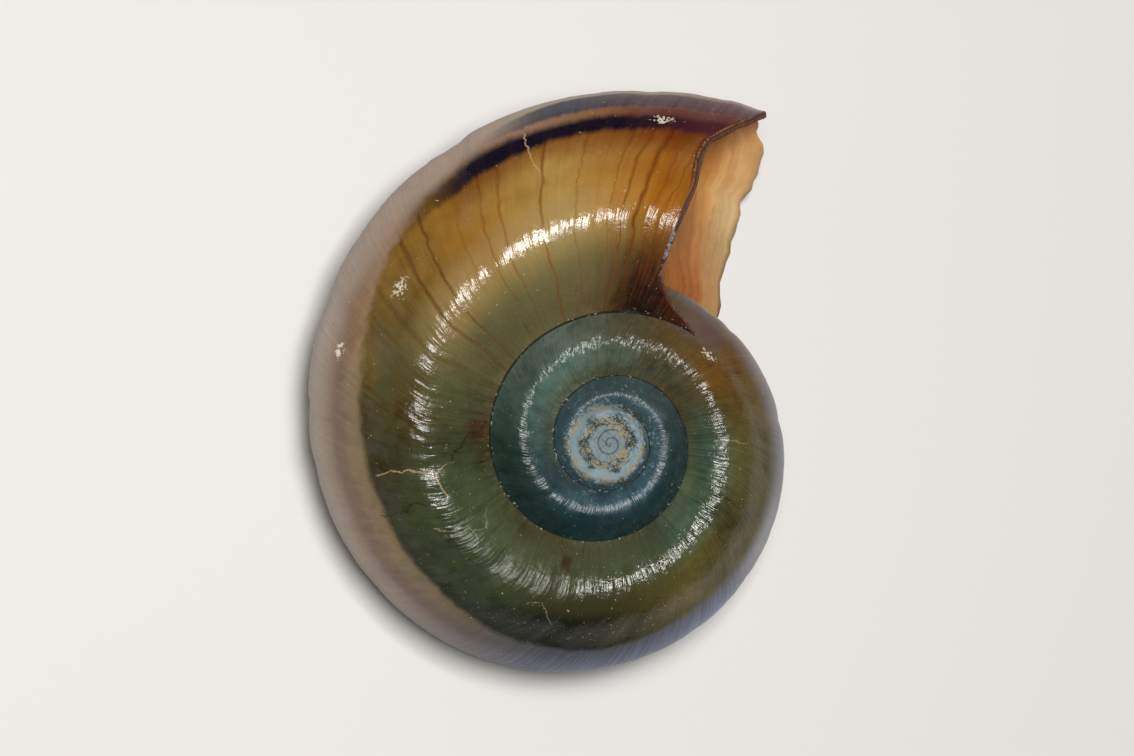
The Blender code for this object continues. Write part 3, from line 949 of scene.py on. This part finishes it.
def veilAndSheenOver(skin):
    # pale dull veil on the outside of the whorls, streaked across, with painted reflection on the
    # glossy rim over it; gives back how thick it is
    growth, around, paint = skin.growth, skin.around, skin.paint
    mottle, mottled, streaked = skin.mottle, skin.mottled, skin.streaked
    smooth, blend, band = skin.smooth, skin.blend, skin.band
    edges = [(at, angle / 90.0) for at, angle in paint["veilAndSheenEdge"]]
    edge = skin.split(skin.along(growth, edges))[0] * 90.0
    soft = 7.0 + 22.0 * (1.0 - smooth(growth, 15.0, 75.0))
    frayed = mottled * (6.0 + 9.0 * smooth(growth, 170.0, 205.0)) + streaked * 3.0
    veil = 1.0 - smooth((around - edge + frayed) / soft, -0.75, 0.25)
    colour = skin.along(around + mottled * 10.0 + streaked * 6.0, paint["veil"])
    warm = band(growth, 214.0, 8.0, 16.0) * smooth(around, 18.0, 32.0)
    colour = skin.between(warm * 0.6, colour, "veilWarm")
    colour = skin.between(band(growth, 236.0, 12.0, 20.0) * 0.5, colour, "veilPale")
    # painted reflection: lighter by the right rim and in a patch near growth 30
    sheenBrighter = 1.0 + 0.75 * smooth(growth, -44.0, -22.0) - 0.75 * smooth(growth, 40.0, 90.0)
    sheenBrighter = sheenBrighter + 0.8 * skin.patch(30.0, 24.0, 18.0, 16.0)
    cool = skin.shaded(skin.along(around + mottled * 10.0, paint["coolVeilAndSheen"]), sheenBrighter)
    cool = blend(band(growth, 78.0, 20.0, 25.0), cool, skin.tinted(cool, paint["lilacFactors"]))
    colour = blend((1.0 - smooth(growth, 108.0, 155.0)) * 0.95, colour, cool)
    fraying = band(growth, 80.0, 20.0, 25.0)
    shade = (skin.fineStreaks - 0.5) * (0.5 * mottle + 0.5 * fraying) + streaked * (0.4 + 0.7 * fraying)
    depth = veil * smooth(growth, -90.0, 20.0) * (1.0 - 0.10 * smooth(mottle, 0.5, 0.7))
    skin.lay(depth * 0.93, skin.shaded(colour, 1.0 + (shade + mottled * 0.6)))
    return depth


def bandsOver(skin):
    # dark spiral bands in a dusky border, crisp towards the lip and lost under the veil behind it
    growth, smooth, band = skin.growth, skin.smooth, skin.band
    drift = skin.around + skin.streaked * 2.6 + skin.mottled * 3.0 - smooth(growth, 255.0, 290.0)
    dusk = (1.0 - smooth(drift, 36.0, 56.0)) * smooth(drift, 24.0, 31.0) * smooth(growth, 228.0, 246.0)
    skin.wash(dusk, "duskFactors")
    gap = band(drift, 22.5, 3.0, 3.4) * smooth(growth, 236.0, 256.0)
    gapColour = skin.between(smooth(growth, 250.0, 270.0), "gapPale", "gapLate")
    skin.lay(gap * (1.0 - smooth(growth, 262.0, 278.0)) * 0.80, gapColour)
    skin.lay(band(drift, 25.0, 3.0, 4.0) * smooth(growth, 262.0, 280.0) * 0.85, "gapFilled")
    toLip = smooth(growth, 244.0, 266.0)
    outerBand = band(drift + toLip * 4.0, 18.0, 0.6 + 3.8 * toLip, 3.5) * smooth(growth, 246.0, 262.0)
    blue = skin.between(smooth(growth, 264.0, 290.0), "bandBlue", "bandPlum")
    skin.lay(outerBand * 0.92, skin.shaded(blue, 0.1 + 1.8 * skin.streaks))
    stripe = smooth(growth, 60.0, 130.0)
    crisp = smooth(growth, 223.0, 246.0)
    half = 1.2 + 1.9 * crisp - 0.9 * toLip
    mainBand = smooth(drift, 21.5 - half + 3.8 * toLip, 30.5 - half)
    mainBand = mainBand * (1.0 - smooth(drift, 30.5 + half, 35.7 + half))
    mainBand = mainBand * (0.12 * stripe + 0.90 * crisp) * (1.08 - 0.2 * skin.streaks)
    lowBands = most(band(drift, -6.0, 2.0, 5.0), band(drift, -38.0, 1.5, 4.5))
    dark = skin.between(smooth(growth, 272.0, 292.0), "bandDark", "bandRed")
    skin.lay(most(mainBand, lowBands * stripe * 0.35), dark)


def spireOver(skin):
    # worn spire: a smooth blue middle, specks round it, then chalk and flecks; radii in millimetres
    grain, mottled, grained, paint = skin.grain, skin.mottled, skin.grained, skin.paint
    smooth, band = skin.smooth, skin.band
    x, y = skin.x - paint["apex"][0], skin.y - paint["apex"][1]
    radial = (x * x + y * y).maths("SQRT")
    rough = radial + 0.11 * x + mottled * 1.6 + grained * 0.9
    top = smooth(skin.z, 12.0, 14.5)
    chalk = (1.0 - smooth(rough, 2.85, 3.15)) * top
    nucleus = (1.0 - smooth(radial + grained * 0.5, 1.25, 1.4)) * top
    turned = y.maths("ARCTAN2", x) / (2.0 * math.pi)
    groove = smooth(abs((radial / 0.62 + turned).maths("FRACT") - 0.5), 0.34, 0.46) * nucleus
    innerSpecks = band(rough, 1.75, 0.30, 0.25) * smooth(grain, 0.40, 0.47)
    outerSpecks = band(rough, 2.95, 0.10, 0.25) * smooth(grain, 0.46, 0.52)
    speckColour = skin.between(smooth(grain + mottled * 0.8, 0.50, 0.56), "moss", "ochre")
    flecks = smooth(grain + mottled * 0.5, 0.60, 0.66) * (1.0 - smooth(radial, 3.3, 5.4)) * top
    skin.lay(flecks * 0.5, "chalk")
    skin.lay(chalk * 0.85, skin.shaded(paint["chalk"], 0.6 + 0.8 * skin.mottle))
    skin.lay(nucleus * 0.9, "nucleus")
    skin.lay(groove * 0.7, "groove")
    skin.lay(most(innerSpecks, outerSpecks) * top * 0.9, speckColour)
    return chalk, nucleus


def marksOver(skin):
    # dark sutures with a few bright grains, golden specks, cracks, scratches and crust
    growth, grain, smooth = skin.growth, skin.grain, skin.smooth
    seamLine = smooth(skin.seam, 0.55, 0.90) * smooth(growth, -850.0, -740.0)
    skin.lay(seamLine * 0.9, "seam")
    gilt = smooth(grain + 0.07 * skin.patch(80.0, 58.0, 80.0, 24.0), 0.69, 0.73)
    skin.lay(gilt * smooth(growth, -60.0, 0.0) * 0.45, "gilt")
    for colour, strength, lines in skin.paint["marks"]:
        skin.lay(most(*[skin.nearLine(*line) for line in lines]) * strength, colour)
    crusted = most(*[skin.patch(*place) for place in skin.paint["crustPatches"]])
    seamGrains = smooth(skin.seam, 0.3, 0.6) * smooth(grain, 0.62, 0.66)
    crust = most(smooth(grain + crusted * 0.20, 0.66, 0.71) * crusted,
                 smooth(grain, 0.700, 0.740) * 0.45, seamGrains * 0.5)
    skin.lay(crust, "crust")
    return seamLine, crust


def lipOver(skin):
    # the lip's broken edge and the lime on it; gives back the lime
    around, behind, grain = skin.around, skin.behind, skin.grain
    smooth, band = skin.smooth, skin.band
    outer = 1.0 - skin.hollow
    broken = smooth(around, 12.0, 24.0) * (1.0 - smooth(around, 62.0, 80.0)) * outer
    stripColour = skin.between(smooth(grain, 0.45, 0.6), "lipRim", "lipEdge")
    skin.lay(band(behind, 0.75, 0.35, 0.2) * broken * 0.9, stripColour)
    edge = 1.0 - smooth(behind - smooth(around, 72.0, 88.0) * 0.7, 0.20, 0.50)
    edge = most(edge, band(behind, 1.20, 0.06, 0.18) * broken)
    skin.lay(edge * outer * smooth(around, -28.0, -6.0), "lipEdge")
    lime = band(around, 104.0, 9.0, 6.0) * (1.0 - smooth(behind, 0.8, 1.3))
    lime = lime * smooth(skin.mottle, 0.46, 0.54) * (0.35 + 0.65 * smooth(grain, 0.44, 0.54))
    skin.lay(lime * 0.85, "lime")
    return lime


def insideOver(skin, lime):
    # the smooth inside with soft cream bands, deeper in colour away from the lip, brightened as painted
    # light and darker further in as painted shade; gives back its rim
    around, behind, mottled, paint = skin.around, skin.behind, skin.mottled, skin.paint
    smooth, blend = skin.smooth, skin.blend
    bands = skin.streak(behind * 0.34 + mottled * 0.5, 0.016, 1.5)
    fineBands = skin.streak(behind * 1.5, 0.030, 2.0)
    sheen = 1.0 + (bands - 0.5) * 0.5 + (fineBands - 0.5) * 0.25 + mottled * 0.3
    # painted shade: darker further into the mouth
    inside = skin.shaded(skin.along(around, paint["inside"]), sheen - 0.2 * smooth(behind, 6.0, 14.0))
    inward = smooth(behind, 4.0, 9.0)
    creamy = (1.0 - inward) * (1.0 - smooth(around, -80.0, -56.0))
    washes = (((1.0 - smooth(bands, 0.40, 0.58)) * 0.45, "tanFactors"), (inward, "deepFactors"),
              (creamy * 0.8, "creamFactors"))
    for mask, factors in washes:
        inside = blend(mask, inside, skin.tinted(inside, paint[factors]))
    # painted shade deep in the hollow
    inside = skin.between(smooth(behind, 60.0, 170.0), inside, "insideDark")
    far = 1.0 - smooth(around, -20.0, 10.0)
    rim = 1.0 - smooth(behind + far * 0.5, 0.5, 0.9)
    rimColour = skin.between(smooth(skin.grain, 0.45, 0.6), "lipRim", "rimDark")
    rimColour = skin.between(lime, rimColour, "rimLime")
    # painted highlight on the far rim
    rimColour = skin.between(far * 0.9, rimColour, "rimFar")
    skin.lay(skin.hollow, blend(rim, inside, rimColour))
    return rim


def shellSkin(paint):
    material = bpy.data.materials.new("shellSkin")
    material.use_nodes = True
    material.node_tree.nodes.clear()
    skin = SkinBench(material.node_tree, paint)
    growth, around, hollow, mottled = skin.growth, skin.around, skin.hollow, skin.mottled
    smooth, band = skin.smooth, skin.band

    skinTint(skin)
    linesOver(skin)
    stainsOver(skin)
    veil = veilAndSheenOver(skin)
    bandsOver(skin)
    chalk, nucleus = spireOver(skin)
    seamLine, crust = marksOver(skin)
    rim = insideOver(skin, lipOver(skin))

    # gloss: older whorls are duller, and the last whorl is smoother at its near right
    old = smooth(-growth, 90.0, 260.0)
    right = band(growth, 28.0, 65.0, 30.0)
    polished = skin.patch(248.0, 90.0, 34.0, 30.0)
    roughness = paint["roughness"] + mottled * 0.30 + skin.grained * 0.08
    roughness = roughness + 0.05 * old + 0.5 * seamLine - 0.06 * right
    roughness = roughness + 0.24 * veil + 0.42 * chalk - 0.10 * nucleus + 0.30 * crust
    roughness = roughness + 0.40 * rim - 0.07 * polished + 0.15 * band(growth, 128.0, 16.0, 20.0)

    # relief too fine for the mesh
    ridges = skin.streak(skin.age * 0.95 + skin.wave * 0.4, 0.045, 2.0)
    pimples = skin.noise(skin.millimetres, paint["pimpleScale"], 2.0, 0.5)
    swells = skin.streak(skin.age * 0.24 + 40.0, 0.050, 1.0)
    height = (ridges - 0.5) * paint["ridgeDepth"] + (pimples - 0.5) * paint["pimpleDepth"]
    height = height + (swells - 0.5) * paint["swellDepth"] * (1.0 - 0.45 * right - 0.65 * old)
    height = height * (1.0 - hollow * 0.85) * (0.15 + 0.85 * skin.calm)
    height = height * (1.0 - 0.6 * veil) * (1.0 - 0.45 * old)
    height = height * (0.35 + 0.65 * smooth(around, 60.0, 82.0)) * (1.0 - 0.5 * polished)
    height = height * (1.0 - nucleus) + chalk * mottled * paint["chalkDepth"]
    bump = skin.node("ShaderNodeBump", {}, {"Strength": 1.0, "Distance": 1.0, "Height": height})
    surface = skin.node("ShaderNodeBsdfPrincipled", {}, {
        "Base Color": skin.tint, "Roughness": roughness, "Normal": bump, "IOR": paint["ior"]})
    skin.node("ShaderNodeOutputMaterial", {}, {"Surface": surface})
    return material


shellPiece = growShell("ramshornShell", shellLaw, shellNet, shellForm, shellSkin(shellPaint))
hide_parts("shell")
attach(shellPiece, "root")
print("stage 2: the shell is grown,", len(shellPiece.data.polygons), "faces")

stageSet = {
    "floorSide": 3.0,
    "floorColour": (0.62, 0.61, 0.595),
    "floorRoughness": 0.55,
    "fibreColour": (0.60, 0.59, 0.57),              # a faint fibre in the floor's colour
    "fibreShare": 0.06,
    "fibreScale": 900.0,
    "worldColour": (0.90, 0.90, 0.90),
    "worldStrength": 0.12,
    "cameraFrom": (-0.24984, -0.03601, 0.96762),    # from the shell towards the camera
    "cameraUp": (0.01125, 0.99913, 0.04009),
    "cameraDistance": 0.400,
    "cameraLens": 163.8,
    "aimRight": -0.00310,       # the frame's middle, beside and above the spire, metres
    "aimUp": 0.00510,
    "lights": (                 # name, place, aim, width, height, power in watts, colour
        ("overhead", (-0.06, 0.04, 0.56), (0.0, 0.0, 0.0), 0.19, 0.15, 3.8, (1.0, 0.98, 0.96)),
    ),
}


def makeFloor(values):
    half = values["floorSide"] / 2.0
    mesh = bpy.data.meshes.new("floor")
    corners = ((-half, -half, 0.0), (half, -half, 0.0), (half, half, 0.0), (-half, half, 0.0))
    mesh.from_pydata(corners, [], [(0, 1, 2, 3)])
    material = bpy.data.materials.new("paleFloor")
    material.use_nodes = True
    material.node_tree.nodes.clear()
    bench = Bench(material.node_tree)
    place = bench.node("ShaderNodeTexCoord", {}, {}, "Object")
    fibre = bench.noise(place, values["fibreScale"], 3.0, 0.6)
    colour = bench.blend(fibre * values["fibreShare"], values["floorColour"], values["fibreColour"])
    surface = bench.node("ShaderNodeBsdfPrincipled", {},
                         {"Base Color": colour, "Roughness": values["floorRoughness"]})
    bench.node("ShaderNodeOutputMaterial", {}, {"Surface": surface})
    mesh.materials.append(material)
    floor = linked("floor", mesh)


def makeLights(values):
    for name, place, aim, width, height, power, colour in values["lights"]:
        data = bpy.data.lights.new(name, "AREA")
        data.shape = "RECTANGLE"
        data.size, data.size_y = width, height
        data.energy = power
        data.color = colour
        light = linked(name, data)
        light.location = place
        light.rotation_euler = (Vector(aim) - Vector(place)).to_track_quat("-Z", "Y").to_euler()
    world = bpy.data.worlds.new("softWorld")
    world.use_nodes = True
    backdrop = world.node_tree.nodes["Background"]
    backdrop.inputs["Color"].default_value = (*values["worldColour"], 1.0)
    backdrop.inputs["Strength"].default_value = values["worldStrength"]
    bpy.context.scene.world = world


def makeCamera(values, spire):
    back = Vector(values["cameraFrom"]).normalized()
    up = Vector(values["cameraUp"])
    up = (up - back * up.dot(back)).normalized()
    right = up.cross(back)
    place = Vector(spire) + back * values["cameraDistance"]
    aim = Vector(spire) + right * values["aimRight"] + up * values["aimUp"]
    data = bpy.data.cameras.new("camera")
    data.lens = values["cameraLens"]
    data.sensor_width = 36.0
    data.clip_start, data.clip_end = 0.01, 20.0
    camera = linked("camera", data)
    look = (place - aim).normalized()
    side = up.cross(look).normalized()
    top = look.cross(side)
    camera.matrix_world = Matrix((
        (side.x, top.x, look.x, place.x), (side.y, top.y, look.y, place.y),
        (side.z, top.z, look.z, place.z), (0.0, 0.0, 0.0, 1.0)))
    bpy.context.scene.camera = camera


makeFloor(stageSet)
makeLights(stageSet)
makeCamera(stageSet, shellForm["place"])
bpy.context.scene.view_settings.view_transform = "Standard"
print("stage 3: floor, lights and camera are set")
